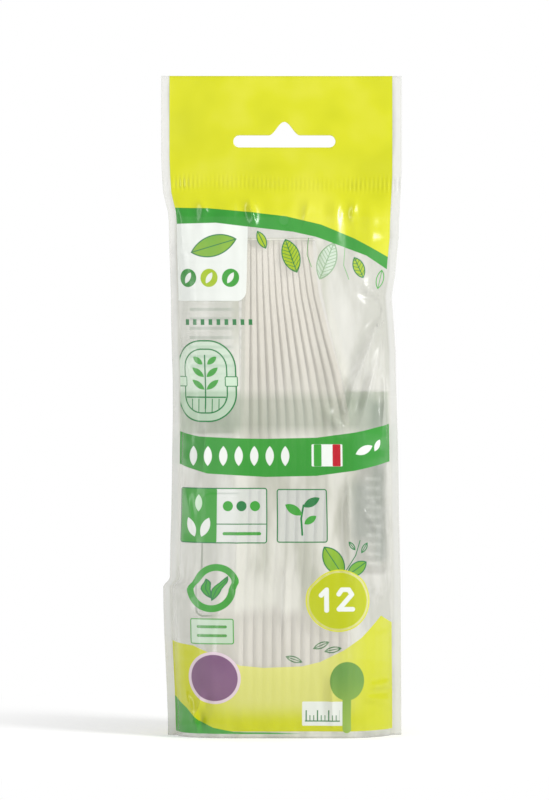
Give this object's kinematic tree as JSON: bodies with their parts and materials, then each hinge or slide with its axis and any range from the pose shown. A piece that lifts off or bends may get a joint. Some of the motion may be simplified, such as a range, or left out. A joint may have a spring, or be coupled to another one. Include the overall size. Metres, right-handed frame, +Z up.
{
  "type": "teaspoon pack",
  "caption": "Upright clear film bag with a printed hang header, welded sides and a nested stack of pale plastic teaspoons inside.",
  "frame": {"origin": "on the surface that the pack stands on, under the middle of its box", "axes": "+Z up along the spoons to the hang header, +Y to the back, so the printed front faces -Y, and +X to the right of the front"},
  "size_m": [0.066, 0.0285, 0.181],
  "materials": {
    "film": "hazy clear film with coloured print",
    "spoon": "satin moulded compostable plastic"
  },
  "bodies": {
    "root": {"film_bag": "film", "spoon_01": "spoon", "spoon_02": "spoon", "spoon_03": "spoon", "spoon_04": "spoon", "spoon_05": "spoon", "spoon_06": "spoon", "spoon_07": "spoon", "spoon_08": "spoon", "spoon_09": "spoon", "spoon_10": "spoon", "spoon_11": "spoon", "spoon_12": "spoon"}
  },
  "joints": []
}
